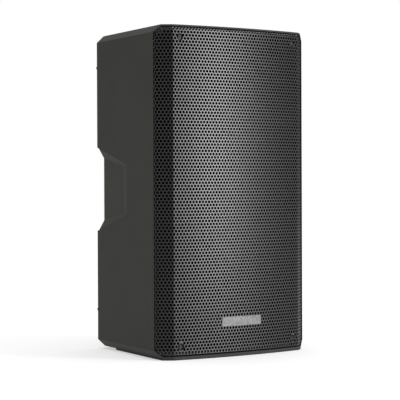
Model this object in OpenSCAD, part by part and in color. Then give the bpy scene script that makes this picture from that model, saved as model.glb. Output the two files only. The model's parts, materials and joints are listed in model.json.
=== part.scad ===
// Active two-way PA loudspeaker with a moulded cabinet, a curved steel grille,
// a 12 inch woofer, a horn driver and an amplifier in a recess at the back.
// X is across, Y runs from the front (-Y) to the back, Z is up from the floor.

/* [Cabinet] */
// Height over the base pad
total_h = 615; // [600:1:640]
// Height of the rubber base pad
pad_h = 3.5; // [3:0.5:5]
// Width between the two bevels of the front
face_w = 303; // [296:1:310]
// Greatest width, at the outer edge of the bevels
max_w = 364.6; // [358:0.2:374]
// Width of the flat rear face
rear_w = 247.2; // [244:0.2:260]
// Depth from the chord of the front arc to the rear face
chord_d = 285.5; // [280:0.5:310]
// How far the front arc bulges ahead of its chord
bulge = 12.7; // [10:0.1:15]
// Depth of the bevel at each side of the front
bevel_d = 24.4; // [22:0.1:27]
// Width of the cut along the four long side edges
edge_cut_w = 16; // [12:0.5:18]
// Height of the same cut
edge_cut_h = 14; // [10:0.5:16]
// Wall thickness of the moulding
wall = 5; // [4:0.5:6]
// Thickness of the rim round the grille
rim_t = 3; // [2.5:0.1:3.5]

/* [Handles] */
// Where the side recess starts, behind the chord
recess_start = 140; // [130:1:150]
// Depth of the recess at the rear face
recess_depth = 15.8; // [12:0.1:17]
// Height of the recess at its front end
recess_front_h = 98; // [80:1:104]
// Height of the recess mouth at the rear face
recess_rear_h = 164; // [150:1:170]
// Height of the recess floor at the rear face
recess_floor_h = 122; // [110:1:130]
// Height of the middle of the handles
handle_z = 313; // [310:1:320]
// Depth of the finger pocket behind each grip
pocket_d = 40; // [30:1:44]

/* [Grille] */
// Gap between the rim and the grille
grille_gap = 2; // [1:0.1:2.5]
// How far the grille lies behind the front outline
grille_set = 1.4; // [1.2:0.1:2]
// Thickness of the grille sheet
sheet_t = 1.5; // [1.2:0.1:1.6]
// Depth of the folded edge of the grille
fold_d = 10; // [8:0.5:11]
// Thickness of the foam behind the grille
foam_t = 8; // [6:0.5:9]
// Distance of the grille screws from the middle
grille_screw_x = 135.5; // [130:0.5:138]
// Height of the lower grille screws
grille_screw_z = 24; // [22:0.5:28]
// Width of the badge
badge_w = 94; // [80:1:100]
// Height of the badge
badge_h = 17.5; // [15:0.5:20]
// Height of the middle of the badge
badge_z = 66; // [60:1:80]

/* [Woofer] */
// Height of the woofer axis
woofer_z = 180; // [178:1:182]
// Radius of the woofer flange
flange_r = 154; // [152:0.5:155]
// Radius of the voice coil former
coil_r = 38; // [37.8:0.1:38.2]
// Number of woofer bolts
woofer_bolt_count = 8; // [8]

/* [Horn] */
// Height of the horn axis
horn_z = 482; // [480:1:486]
// Width of the horn flange
horn_w = 300; // [296:1:304]
// Height of the horn flange
horn_h = 176; // [170:1:178]
// Radius of the horn throat
throat_r = 12.7; // [12.5:0.1:13]

/* [Ports] */
// Distance of the ports from the middle
port_x = 124; // [122:1:126]
// Height of the ports
port_z = 352; // [350:1:352]
// Inner radius of a port tube
port_r = 22; // [20:0.5:22.5]
// Length of a port tube
port_len = 98; // [80:1:98]

/* [Pole socket] */
// Bore radius for a 35 mm pole
pole_r = 17.75; // [17.7:0.05:17.9]
// Depth of the pole bore
pole_depth = 77; // [70:1:80]
// Place of the socket behind the chord
pole_y = 135; // [130:1:138]

/* [Rear panel] */
// Half width of the amplifier plate
plate_half_w = 96.5; // [96:0.5:97]
// Lower edge of the amplifier plate
plate_z0 = 37.5; // [37:0.5:38]
// Upper edge of the amplifier plate
plate_z1 = 250.5; // [250:0.5:251]
// Depth of the recess that holds the plate
panel_recess = 22; // [21:0.5:23]
// Height of the input row
jack_z = 214; // [212:1:216]
// Height of the knob row
knob_z = 176; // [174:1:178]
// Height of the button row
button_z = 148; // [146:1:150]
// Height of the mains row
mains_z = 76; // [74:1:80]

/* [Hidden] */
$fn = 64;

far = 400;
eps = 0.01;
soft = 32;

// Frame: the chord of the front arc lies at chord_y, so that the whole depth is centred
bumper_h = 6.5;
chord_y = bulge - (bulge + chord_d + bumper_h) / 2;

// Outline of the cabinet in plan
arc_r = (face_w * face_w / 4 + bulge * bulge) / (2 * bulge);
arc_y = arc_r - bulge;
tip_y = -face_w / 2 * bevel_d / ((max_w - face_w) / 2);
plan_pts = [
  [0, tip_y], [max_w / 2, bevel_d], [rear_w / 2, chord_d], [-rear_w / 2, chord_d], [-max_w / 2, bevel_d]
];

// Taper of the sides, and the distance of their planes from the axis
taper = atan((max_w - rear_w) / 2 / (chord_d - bevel_d));
side_x = max_w / 2 * cos(taper) + bevel_d * sin(taper);
side_pts = [
  [-far, pad_h], [side_x - edge_cut_w, pad_h], [side_x, pad_h + edge_cut_h],
  [side_x, total_h - edge_cut_h], [side_x - edge_cut_w, total_h], [-far, total_h]
];

// Planes across the depth
baffle_y = 38;
baffle_t = 12;
gasket_t = 1;
seat_y = baffle_y + baffle_t + gasket_t;
ledge_t = 8;
ledge_w = 16;
plate_y = chord_d - panel_recess;
plate_t = 3;
face_y = plate_y + gasket_t + plate_t;
plate_ledge = 12.5;

// Finger pocket
pocket_x0 = 69.6;
pocket_w = 24;
pocket_h = 100;

// Flange of the pole socket, let into the underside
socket_flange_r = 40;
socket_flange_t = 3;

// Base pad
pad_w = 22;
pad_rear = 230;

// Fasteners
screw_r = 1.9;
hole_r = 2.05;
head_r = 4;
head_h = 2.5;
baffle_screw_at = [
  for (z = [80, 200, 310, 420, 540]) for (s = [-1, 1]) [s * 167, z],
  for (x = [-110, 0, 110]) for (z = [pad_h + 9.5, total_h - 9.5]) [x, z]
];
grille_screw_at = [
  for (s = [-1, 1]) for (z = [grille_screw_z, total_h + 1.5 - grille_screw_z]) [s * grille_screw_x, z]
];
amp_screw_at = [
  for (s = [-1, 1]) for (z = [44, 144, 244]) [s * 90, z],
  for (z = [44, 244]) [0, z]
];
horn_screw_at = [
  for (s = [-1, 1]) for (z = [-82, 82]) [s * 120, horn_z + z],
  for (s = [-1, 1]) [s * 145, horn_z]
];
bumper_at = [for (s = [-1, 1]) for (z = [76, 552]) [s * (rear_w / 2 - 6), z]];
rigging_at = [[0, 110, 1], [0, 235, 1], [0, 197, -1]];

// Grille screw dimples
dimple_r = 6;
dimple_d = 4;
post_r = 5.5;
function arc_depth(x, d = 0) = arc_y - sqrt((arc_r - d) * (arc_r - d) - x * x);
dimple_y = arc_depth(grille_screw_x, grille_set) + dimple_d;

// Woofer, measured back from the front of its flange
flange_t = 4;
woofer_y = baffle_y - gasket_t - flange_t;
cutout_r = 143.5;
basket_back = 76;
top_plate_t = 8;
magnet_t = 22;
back_plate_t = 8;
woofer_bolt_r = 148.5;

// Horn and driver
horn_flange_t = 4;
horn_y = baffle_y - horn_flange_t;
horn_len = 110;
driver_y = horn_y + horn_len;
driver_r = 45;
driver_len = 36;

// Rear panel rows
jack_x = [-64, -26, 12];
pot_x = [-64, -26, 12];
button_x = [-64, -26, 12];
led_z = 130;
inlet_x = -52;
rocker_x = 8;
jack_flange_t = 2.5;
jack_r = 11.8;
jack_bore_r = 9.8;
jack_seat = 7;
jack_floor = 16;
jack_back = 28;
rocker_tilt = 7;
rocker_y = face_y - 2;
shaft_r = 3;
bush_r = 3.6;
board_y = 232;

jack_screw_at = concat(
  [for (x = jack_x) for (s = [-1, 1]) [x + s * 9.5, jack_z - s * 12]],
  [for (s = [-1, 1]) [inlet_x + s * 20, mains_z]]
);
standoff_at = [for (s = [-1, 1]) for (z = [60, 233]) [s * 76, z]];

function unit(v) = v / norm(v);
function inward(a, b) = [-(b[1] - a[1]), b[0] - a[0]] / norm(b - a);
function moved_corner(p, q, r, d) =
  let (n1 = inward(p, q), n2 = inward(q, r)) q + d * (n1 + n2) / (1 + n1 * n2);
// A convex outline, listed anticlockwise, with every side moved inward by d
function inset(pts, d) = [
  for (i = [0 : len(pts) - 1])
    moved_corner(pts[(i + len(pts) - 1) % len(pts)], pts[i], pts[(i + 1) % len(pts)], d)
];

// ---- Shared shapes ----

module in_frame() { translate([0, chord_y, 0]) children(); }

// Puts a shape made along +Z onto an axis that runs to the back
module to_back(x, y, z) { translate([x, y, z]) rotate([-90, 0, 0]) children(); }

module tube(r_out, r_in, h) {
  difference() {
    cylinder(r = r_out, h = h);
    translate([0, 0, -1]) cylinder(r = r_in, h = h + 2);
  }
}

module block(x0, x1, y0, y1, z0, z1) { translate([x0, y0, z0]) cube([x1 - x0, y1 - y0, z1 - z0]); }

module slab_y(y0, y1) { block(-far, far, y0, y1, -far, 2 * far); }

// The space between the two tapered sides, the top and the bottom
module sides_form(d) {
  intersection_for (s = [0, 1])
    mirror([s, 0, 0]) rotate([0, 0, taper]) rotate([90, 0, 0])
      linear_extrude(height = 2 * far, center = true) polygon(inset(side_pts, d));
}

// The column between the two tapered sides, each moved in by d
module sides_column(d) {
  intersection_for (s = [0, 1])
    mirror([s, 0, 0]) rotate([0, 0, taper])
      translate([side_x - d - far, -far, -far]) cube([far, 2 * far, 2 * far]);
}

// The plan outline as an upright column, with a true arc in front
module plan_form(d, z0 = 0, z1 = total_h + 1) {
  translate([0, 0, z0]) intersection() {
    linear_extrude(height = z1 - z0) polygon(inset(plan_pts, d));
    translate([0, arc_y, 0]) cylinder(r = arc_r - d, h = z1 - z0, $fn = 256);
  }
}

// Side recess in the frame of the right-hand side, grown by g
module recess_body(g) {
  along0 = (recess_start - side_x * sin(taper)) / cos(taper);
  along1 = (chord_d - side_x * sin(taper)) / cos(taper) + 20;
  ramp_l = 33;
  ramp_d = 5;
  over = 20 / (along1 - along0);
  corner = 8;
  rear_half = recess_rear_h / 2 * (1 + over * (1 - recess_front_h / recess_rear_h));
  floor_half = recess_floor_h / 2 * (1 + over * (1 - recess_front_h / recess_floor_h));
  rear_depth = recess_depth + (recess_depth - ramp_d) * over;
  rotate([0, 0, taper]) hull() {
    for (s = [-1, 1]) {
      translate([side_x, along0 - g + corner, handle_z + s * (recess_front_h / 2 + g - corner)])
        rotate([0, 90, 0]) cylinder(r = corner, h = 6, $fn = soft);
      translate([side_x - ramp_d - g, along0 + ramp_l, handle_z + s * (recess_front_h / 2 + g - corner)])
        rotate([0, 90, 0]) cylinder(r = corner - 2, h = 1, $fn = soft);
      translate([side_x, along1, handle_z + s * (rear_half + g)]) cube([6, 1, 1], center = true);
      translate([side_x + 5, along1, handle_z + s * (rear_half + g)]) cube([2, 1, 1], center = true);
      translate([side_x - rear_depth - g, along1, handle_z + s * (floor_half + g)])
        cube([eps, 1, 1], center = true);
    }
  }
}

// Finger pocket sunk into the rear face beside the grip, with round ends
module finger_pocket() {
  r = pocket_w / 2;
  y0 = chord_d - pocket_d;
  straight = pocket_h / 2 - r;
  block(pocket_x0, pocket_x0 + pocket_w, y0, chord_d + 1, handle_z - straight, handle_z + straight);
  for (s = [-1, 1])
    to_back(pocket_x0 + r, y0, handle_z + s * straight) cylinder(r = r, h = pocket_d + 1);
}

function ring_at(r, n, a0 = 0) = [
  for (i = [0 : n - 1]) [r * cos(a0 + i * 360 / n), r * sin(a0 + i * 360 / n)]
];

// A pan-head screw whose head lies towards the front, its seat at y
module front_screw(x, y, z, l) {
  to_back(x, y - head_h, z) cylinder(r = head_r, h = head_h);
  to_back(x, y - eps, z) cylinder(r = screw_r, h = l);
}

// The same screw turned round, its head towards the back
module rear_screw(x, y, z, l, r = screw_r, h_r = head_r) {
  to_back(x, y, z) cylinder(r = h_r, h = 2);
  to_back(x, y - l, z) cylinder(r = r, h = l + eps);
}

// A round lead swept along its own points
lead_sides = 8;
module lead(pts, r) {
  n = len(pts);
  function tangent(i) = unit(pts[min(i + 1, n - 1)] - pts[max(i - 1, 0)]);
  rings = [
    for (i = [0 : n - 1])
      let (t = tangent(i), a = unit(cross(t, [0.13, 0.21, 1])), b = cross(t, a))
        for (k = [0 : lead_sides - 1])
          pts[i] + r * (cos(k * 360 / lead_sides) * a + sin(k * 360 / lead_sides) * b)
  ];
  walls = [
    for (i = [0 : n - 2]) for (k = [0 : lead_sides - 1])
      let (k2 = (k + 1) % lead_sides)
        [i * lead_sides + k, i * lead_sides + k2, (i + 1) * lead_sides + k2, (i + 1) * lead_sides + k]
  ];
  first = [for (k = [0 : lead_sides - 1]) lead_sides - 1 - k];
  last = [for (k = [0 : lead_sides - 1]) (n - 1) * lead_sides + k];
  polyhedron(points = rings, faces = concat([first], walls, [last]), convexity = 6);
}

// Points of a smooth curve through the given corners
function spline_point(p, i, t) =
  let (
    n = len(p), p0 = p[max(i - 1, 0)], p1 = p[i], p2 = p[min(i + 1, n - 1)], p3 = p[min(i + 2, n - 1)]
  )
  0.5 * (2 * p1 + (p2 - p0) * t + (2 * p0 - 5 * p1 + 4 * p2 - p3) * t * t
    + (3 * p1 - p0 - 3 * p2 + p3) * t * t * t);
function smooth_route(p, steps) = concat(
  [for (i = [0 : len(p) - 2]) for (k = [0 : steps - 1]) spline_point(p, i, k / steps)],
  [p[len(p) - 1]]
);

// ---- Cabinet ----

module shell_cavity() {
  difference() {
    intersection() {
      sides_form(wall);
      plan_form(wall);
      slab_y(seat_y + ledge_t, chord_d);
    }
    for (s = [0, 1]) mirror([s, 0, 0]) {
      recess_body(wall);
      block(pocket_x0 - 4, pocket_x0 + pocket_w + 12, chord_d - pocket_d - 4, chord_d,
        handle_z - pocket_h / 2 - 4, handle_z + pocket_h / 2 + 4);
    }
    block(-plate_half_w - 5.5, plate_half_w + 5.5, plate_y - 4, chord_d, plate_z0 - 5.5, plate_z1 + 5.5);
    translate([0, pole_y, pad_h]) cylinder(r = socket_flange_r + 6, h = 14);
    for (p = rigging_at)
      translate([p[0], p[1], p[2] > 0 ? total_h - 30 : pad_h]) cylinder(r = 14, h = 30);
  }
}

module cabinet_shell() {
  color([0.16, 0.16, 0.155]) in_frame() difference() {
    intersection() {
      sides_form(0);
      plan_form(0);
    }
    intersection() {
      sides_form(rim_t);
      slab_y(-100, seat_y);
    }
    intersection() {
      sides_form(ledge_w);
      slab_y(seat_y - 1, seat_y + ledge_t + 1);
    }
    shell_cavity();
    for (s = [0, 1]) mirror([s, 0, 0]) {
      recess_body(0);
      finger_pocket();
    }
    block(-plate_half_w - 1.5, plate_half_w + 1.5, plate_y, chord_d + 1, plate_z0 - 1.5, plate_z1 + 1.5);
    block(-plate_half_w + plate_ledge, plate_half_w - plate_ledge, plate_y - 10, plate_y + 1,
      plate_z0 + plate_ledge, plate_z1 - plate_ledge);
    for (p = baffle_screw_at) to_back(p[0], seat_y - 1, p[1]) cylinder(r = hole_r, h = 12);
    for (p = amp_screw_at) to_back(p[0], plate_y - 10, p[1]) cylinder(r = hole_r, h = 12);
    for (p = bumper_at) to_back(p[0], chord_d - 5, p[1]) cylinder(r = hole_r, h = 6);
    translate([0, pole_y, 0]) cylinder(r = socket_flange_r + 0.2, h = pad_h + socket_flange_t);
    translate([0, pole_y, 0]) cylinder(r = 22.3, h = 40);
    for (q = ring_at(32, 4, 45)) translate([q[0], pole_y + q[1], 0]) cylinder(r = hole_r, h = 16);
    for (p = rigging_at)
      translate([p[0], p[1], p[2] > 0 ? total_h - 26 : pad_h - 1]) cylinder(r = 8.05, h = 27);
  }
}

// Rubber frame under the front and the sides, stopping short of the rear face
module base_pad() {
  color([0.06, 0.06, 0.06]) in_frame() difference() {
    intersection() {
      plan_form(0, 0, pad_h);
      sides_column(edge_cut_w);
      slab_y(-far, pad_rear);
    }
    intersection() {
      plan_form(pad_w, -1, pad_h + 1);
      sides_column(edge_cut_w + pad_w);
      slab_y(-far, pad_rear - pad_w);
    }
  }
}

module rear_bumpers() {
  color([0.05, 0.05, 0.05]) in_frame() for (p = bumper_at) {
    to_back(p[0], chord_d, p[1]) cylinder(r1 = 4, r2 = 3.2, h = bumper_h);
    to_back(p[0], chord_d - 4.5, p[1]) cylinder(r = screw_r, h = 4.6);
  }
}

// ---- Front ----

module front_baffle() {
  color([0.1, 0.1, 0.1]) in_frame() difference() {
    union() {
      intersection() {
        sides_form(rim_t + 0.3);
        slab_y(baffle_y, baffle_y + baffle_t);
      }
      for (p = grille_screw_at)
        to_back(p[0], dimple_y + sheet_t + 0.2, p[1]) cylinder(r = post_r, h = baffle_y - dimple_y - sheet_t);
    }
    to_back(0, baffle_y - 1, woofer_z) cylinder(r = cutout_r, h = baffle_t + 2, $fn = 128);
    for (s = [-1, 1]) to_back(s * port_x, baffle_y - 1, port_z) cylinder(r = port_r + 3.3, h = baffle_t + 2);
    block(-horn_w / 2 + 9, horn_w / 2 - 9, baffle_y - 1, baffle_y + baffle_t + 1,
      horn_z - horn_h / 2 + 9, horn_z + horn_h / 2 - 9);
    for (p = baffle_screw_at) to_back(p[0], baffle_y - 1, p[1]) cylinder(r = hole_r, h = baffle_t + 2);
    for (p = grille_screw_at) to_back(p[0], dimple_y, p[1]) cylinder(r = hole_r, h = 26);
    for (q = ring_at(woofer_bolt_r, woofer_bolt_count, 22.5))
      to_back(q[0], baffle_y - 1, woofer_z + q[1]) cylinder(r = 2.6, h = baffle_t + 2);
    for (p = horn_screw_at) to_back(p[0], baffle_y - 1, p[1]) cylinder(r = hole_r, h = baffle_t + 2);
  }
}

module baffle_gasket() {
  color([0.05, 0.05, 0.05]) in_frame() difference() {
    intersection() {
      sides_form(rim_t + 0.5);
      slab_y(seat_y - gasket_t, seat_y);
    }
    intersection() {
      sides_form(ledge_w);
      slab_y(seat_y - 3, seat_y + 2);
    }
    for (p = baffle_screw_at) to_back(p[0], seat_y - 3, p[1]) cylinder(r = hole_r, h = 6);
  }
}

module baffle_screws() {
  color([0.2, 0.2, 0.2]) in_frame()
    for (p = baffle_screw_at) front_screw(p[0], baffle_y, p[1], baffle_t + gasket_t + 6);
}

// The part of the space behind the front that lies within depth of it
module front_layer(front_set, side_set, depth) {
  difference() {
    intersection() {
      plan_form(front_set);
      sides_form(side_set);
    }
    translate([0, depth, 0]) plan_form(front_set, -1, total_h + 2);
  }
}

// Curved sheet with folded edges and a dimple for each screw
module grille() {
  edge = rim_t + grille_gap;
  cup_r = dimple_r + sheet_t;
  color([0.13, 0.13, 0.14]) in_frame() difference() {
    union() {
      difference() {
        front_layer(grille_set, edge, fold_d);
        intersection() {
          plan_form(grille_set + sheet_t, -1, total_h + 2);
          sides_form(edge + sheet_t);
        }
      }
      for (p = grille_screw_at) intersection() {
        to_back(p[0], dimple_y - dimple_d - 1, p[1]) cylinder(r = cup_r, h = dimple_d + 1 + sheet_t);
        plan_form(grille_set);
      }
    }
    for (p = grille_screw_at) {
      to_back(p[0], dimple_y - 20, p[1]) cylinder(r = dimple_r, h = 20);
      to_back(p[0], dimple_y - 20, p[1]) cylinder(r = hole_r, h = 30);
    }
  }
}

module grille_foam() {
  edge = rim_t + grille_gap + sheet_t + 0.3;
  color([0.03, 0.03, 0.03]) in_frame() difference() {
    front_layer(grille_set + sheet_t + 0.2, edge, foam_t);
    for (p = grille_screw_at)
      to_back(p[0], dimple_y - 20, p[1]) cylinder(r = dimple_r + sheet_t + 0.5, h = 50);
  }
}

module grille_screws() {
  color([0.08, 0.08, 0.08]) in_frame() for (p = grille_screw_at) {
    difference() {
      to_back(p[0], dimple_y - 2.4, p[1]) cylinder(r1 = 3, r2 = 3.6, h = 2.4);
      to_back(p[0], dimple_y - 3, p[1]) cylinder(r = 1.5, h = 2, $fn = 6);
    }
    to_back(p[0], dimple_y - eps, p[1]) cylinder(r = screw_r, h = 22);
  }
}

module badge() {
  color([0.6, 0.6, 0.6]) in_frame() intersection() {
    difference() {
      translate([0, arc_y, 0]) cylinder(r = arc_r, h = total_h, $fn = 256);
      translate([0, arc_y, -1]) cylinder(r = arc_r - grille_set + 0.05, h = total_h + 2, $fn = 256);
    }
    block(-badge_w / 2, badge_w / 2, -50, 50, badge_z - badge_h / 2, badge_z + badge_h / 2);
  }
}

// ---- Woofer ----

module woofer_at() { in_frame() to_back(0, woofer_y, woofer_z) children(); }

module woofer_basket() {
  color([0.12, 0.12, 0.12]) woofer_at() difference() {
    rotate_extrude($fn = 128) polygon([
      [131, 0], [flange_r, 0], [flange_r, flange_t], [143, flange_t], [141, 14], [88, 66], [88, basket_back],
      [42, basket_back], [42, basket_back - 4], [73, basket_back - 4], [73, 61], [81, 61],
      [136, 12], [138, 3], [131, 3]
    ]);
    for (i = [0 : 5]) rotate([0, 0, i * 60]) translate([84, -26, 22]) cube([70, 52, 32]);
    for (q = ring_at(woofer_bolt_r, woofer_bolt_count, 22.5))
      translate([q[0], q[1], -1]) cylinder(r = 2.6, h = 8);
  }
}

module woofer_gasket() {
  color([0.05, 0.05, 0.05]) woofer_at() difference() {
    translate([0, 0, flange_t]) tube(flange_r - 1, cutout_r + 0.3, gasket_t, $fn = 128);
    for (q = ring_at(woofer_bolt_r, woofer_bolt_count, 22.5))
      translate([q[0], q[1], -1]) cylinder(r = 2.6, h = 9);
  }
}

module woofer_bolts() {
  bolts = ring_at(woofer_bolt_r, woofer_bolt_count, 22.5);
  color([0.25, 0.25, 0.25]) woofer_at() for (q = bolts) translate([q[0], q[1], 0]) {
    difference() {
      translate([0, 0, -4]) cylinder(r = 4.2, h = 4);
      translate([0, 0, -5]) cylinder(r = 2, h = 3.5, $fn = 6);
    }
    translate([0, 0, -eps]) cylinder(r = 2.45, h = flange_t + gasket_t + baffle_t + 3);
  }
}

module woofer_top_plate() {
  color([0.55, 0.55, 0.57]) woofer_at() translate([0, 0, basket_back]) tube(78, coil_r + 1.5, top_plate_t);
}

module woofer_magnet() {
  color([0.1, 0.1, 0.1]) woofer_at() translate([0, 0, basket_back + top_plate_t]) tube(84, 48, magnet_t);
}

module woofer_back_plate() {
  back = basket_back + top_plate_t + magnet_t;
  color([0.5, 0.5, 0.52]) woofer_at() rotate_extrude() polygon([
    [11, basket_back + 1], [coil_r - 1.2, basket_back + 1], [coil_r - 1.2, back], [78, back],
    [76, back + back_plate_t], [11, back + back_plate_t]
  ]);
}

// Half-roll edge between the cone and the basket
module woofer_surround() {
  roll_r = 8;
  mid_r = 126.5;
  color([0.07, 0.07, 0.07]) woofer_at() rotate_extrude($fn = 128) union() {
    intersection() {
      translate([mid_r, 0]) difference() {
        circle(r = roll_r);
        circle(r = roll_r - 1.2);
      }
      translate([mid_r - 10, -10]) square([20, 10 - 0.3]);
    }
    translate([mid_r + roll_r - 1.4, -1.5]) square([5, 1.2]);
    translate([mid_r - roll_r - 3.6, -1.5]) square([5, 1.2]);
  }
}

// Corrugated ring that centres the voice coil
module woofer_spider() {
  r0 = coil_r + 1;
  r1 = 79.5;
  n = 20;
  flat_from = 16;
  thick = 0.8;
  rest = 60;
  function wave(i) = i < flat_from ? 1.8 * sin(i * 90) : 0;
  function at(i) = r0 + (r1 - r0) * i / n;
  color([0.75, 0.6, 0.35]) woofer_at() rotate_extrude() polygon(concat(
    [for (i = [0 : n]) [at(i), rest + wave(i)]],
    [for (i = [n : -1 : 0]) [at(i), rest + thick + wave(i)]]
  ));
}

cone_edge_r = 119;
cone_neck_w = 40;
module woofer_cone() {
  color([0.08, 0.08, 0.08]) woofer_at() rotate_extrude($fn = 128) polygon([
    [cone_edge_r, 0.2], [115, 0.2], [90, 9], [64, 22], [coil_r + 0.4, cone_neck_w],
    [coil_r + 0.4, cone_neck_w + 2], [coil_r + 1.5, cone_neck_w + 2],
    [64.5, 23.6], [90.5, 10.6], [115.5, 1.6], [cone_edge_r, 1.6]
  ]);
}

module woofer_dust_cap() {
  cap_r = 44;
  dome_r = 56;
  seat = 36;
  drop = sqrt(dome_r * dome_r - cap_r * cap_r);
  color([0.06, 0.06, 0.06]) woofer_at() intersection() {
    translate([0, 0, seat + drop]) difference() {
      sphere(r = dome_r, $fn = 96);
      sphere(r = dome_r - 1, $fn = 96);
    }
    cylinder(r = cap_r, h = seat - 0.4);
  }
}

module woofer_voice_coil() {
  color([0.75, 0.42, 0.2]) woofer_at() {
    translate([0, 0, cone_neck_w - 4]) tube(coil_r, coil_r - 0.5, 50);
    translate([0, 0, basket_back - 4]) tube(coil_r + 0.6, coil_r - 0.1, 14);
  }
}

// ---- Horn and high-frequency driver ----

module horn_at() { in_frame() to_back(0, horn_y, horn_z) children(); }

module horn_slice(w, h, z) { translate([-w / 2, -h / 2, z]) cube([w, h, eps]); }

// Flare from the throat to the mouth, grown by g
module flare(g) {
  mouth = [horn_w - 24 + g, horn_h - 24 + g];
  mid = [196 + g, 104 + g];
  neck = [92 + g, 58 + g];
  hull() {
    horn_slice(mouth[0], mouth[1], 0);
    horn_slice(mid[0], mid[1], 34);
  }
  hull() {
    horn_slice(mid[0], mid[1], 34);
    horn_slice(neck[0], neck[1], 74);
  }
  hull() {
    horn_slice(neck[0], neck[1], 74);
    translate([0, 0, horn_len - 6]) cylinder(r = throat_r + g / 2, h = eps, $fn = soft);
  }
}

module horn() {
  color([0.09, 0.09, 0.09]) horn_at() difference() {
    union() {
      translate([-horn_w / 2, -horn_h / 2, 0]) cube([horn_w, horn_h, horn_flange_t]);
      flare(6);
      translate([0, 0, horn_len - 7]) cylinder(r = 34, h = 7);
    }
    translate([0, 0, -eps]) flare(0);
    translate([0, 0, horn_len - 8]) cylinder(r = throat_r, h = 10);
    for (p = horn_screw_at) translate([p[0], p[1] - horn_z, -1]) cylinder(r = hole_r, h = 8);
  }
}

module horn_screws() {
  color([0.2, 0.2, 0.2]) in_frame()
    for (p = horn_screw_at) front_screw(p[0], horn_y, p[1], horn_flange_t + baffle_t + 2);
}

module driver_at() { in_frame() to_back(0, driver_y, horn_z) children(); }

module driver_body() {
  color([0.12, 0.12, 0.12]) driver_at() rotate_extrude() polygon([
    [throat_r, 0], [38, 0], [driver_r, 4], [driver_r, driver_len], [26, driver_len], [26, driver_len - 8],
    [20.5, driver_len - 8], [20.5, driver_len - 12], [throat_r, driver_len - 12]
  ]);
}

module driver_back_cover() {
  color([0.2, 0.2, 0.2]) driver_at() difference() {
    translate([0, 0, driver_len]) cylinder(r1 = 40, r2 = 36, h = 16);
    translate([0, 0, driver_len - 1]) cylinder(r = 27, h = 12);
  }
}

module hf_diaphragm() {
  dome_r = 30;
  edge_r = 24.5;
  drop = sqrt(dome_r * dome_r - edge_r * edge_r);
  color([0.8, 0.8, 0.82]) driver_at() {
    intersection() {
      translate([0, 0, driver_len - drop - 4]) difference() {
        sphere(r = dome_r, $fn = 64);
        sphere(r = dome_r - 0.6, $fn = 64);
      }
      translate([0, 0, driver_len - 4]) cylinder(r = edge_r, h = 20);
    }
    translate([0, 0, driver_len - 6]) tube(22.5, 22, 4.4);
  }
}

// ---- Ports and damping ----

module port_tube(x) {
  color([0.09, 0.09, 0.09]) in_frame() to_back(x, baffle_y - 4, port_z) rotate_extrude() polygon([
    [port_r + 4, 0], [port_r + 7, 0], [port_r + 7, 4], [port_r + 3, 4], [port_r + 3, port_len - 6],
    [port_r + 5, port_len], [port_r + 3, port_len], [port_r, port_len - 8], [port_r, 6]
  ]);
}

module port_left() { port_tube(-port_x); }

module port_right() { port_tube(port_x); }

module wadding() {
  color([0.82, 0.82, 0.78]) in_frame() {
    block(-60, 60, 256, 279, 385, 560);
    for (s = [0, 1]) mirror([s, 0, 0]) block(24, 96, 90, 240, 580, 604);
  }
}

// ---- Amplifier ----

module rear_plate_cuts() {
  for (x = jack_x) to_back(x, face_y - 10, jack_z) cylinder(r = jack_r + 0.2, h = 20);
  for (x = jack_x) block(x - 5, x + 5, face_y - 10, face_y + 10, jack_z + 10, jack_z + 14.6);
  for (x = pot_x) to_back(x, face_y - 10, knob_z) cylinder(r = bush_r + 0.1, h = 20);
  for (x = button_x) block(x - 4.4, x + 4.4, face_y - 10, face_y + 10, button_z - 2.9, button_z + 2.9);
  for (i = [0 : 3]) to_back(-64 + i * 12, face_y - 10, led_z) cylinder(r = 1.6, h = 20);
  block(inlet_x - 14.3, inlet_x + 14.3, face_y - 10, face_y + 10, mains_z - 10.5, mains_z + 10.5);
  block(rocker_x - 10.2, rocker_x + 10.2, face_y - 10, face_y + 10, mains_z - 14.2, mains_z + 14.2);
  for (p = amp_screw_at) to_back(p[0], face_y - 10, p[1]) cylinder(r = hole_r, h = 20);
  for (p = jack_screw_at) to_back(p[0], face_y - 10, p[1]) cylinder(r = 1.6, h = 20);
  for (p = standoff_at) to_back(p[0], face_y - 10, p[1]) cylinder(r = 1.6, h = 20);
}

module amp_plate() {
  color([0.14, 0.14, 0.14]) in_frame() difference() {
    block(-plate_half_w, plate_half_w, face_y - plate_t, face_y, plate_z0, plate_z1);
    rear_plate_cuts();
  }
}

module amp_gasket() {
  in_w = plate_half_w - plate_ledge;
  color([0.05, 0.05, 0.05]) in_frame() difference() {
    block(-plate_half_w, plate_half_w, plate_y, plate_y + gasket_t, plate_z0, plate_z1);
    block(-in_w, in_w, plate_y - 1, plate_y + 2, plate_z0 + plate_ledge, plate_z1 - plate_ledge);
    for (p = amp_screw_at) to_back(p[0], plate_y - 10, p[1]) cylinder(r = hole_r, h = 20);
  }
}

module amp_screws() {
  color([0.2, 0.2, 0.2]) in_frame()
    for (p = amp_screw_at) rear_screw(p[0], face_y, p[1], plate_t + gasket_t + 6);
}

module heatsink() {
  x0 = 34;
  x1 = 82;
  z0 = 66;
  z1 = 226;
  fins = 9;
  fin_t = 2;
  base_t = 4;
  color([0.1, 0.1, 0.1]) in_frame() {
    block(x0, x1, face_y, face_y + base_t, z0, z1);
    for (i = [0 : fins - 1]) {
      x = x0 + i * (x1 - x0 - fin_t) / (fins - 1);
      block(x, x + fin_t, face_y + base_t - eps, face_y + 15, z0, z1);
    }
  }
}

module amp_board() {
  color([0.05, 0.25, 0.12]) in_frame() difference() {
    block(-80, 80, board_y, board_y + 1.6, 54, 237);
    for (p = standoff_at) to_back(p[0], board_y - 5, p[1]) cylinder(r = 1.6, h = 12);
  }
}

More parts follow.
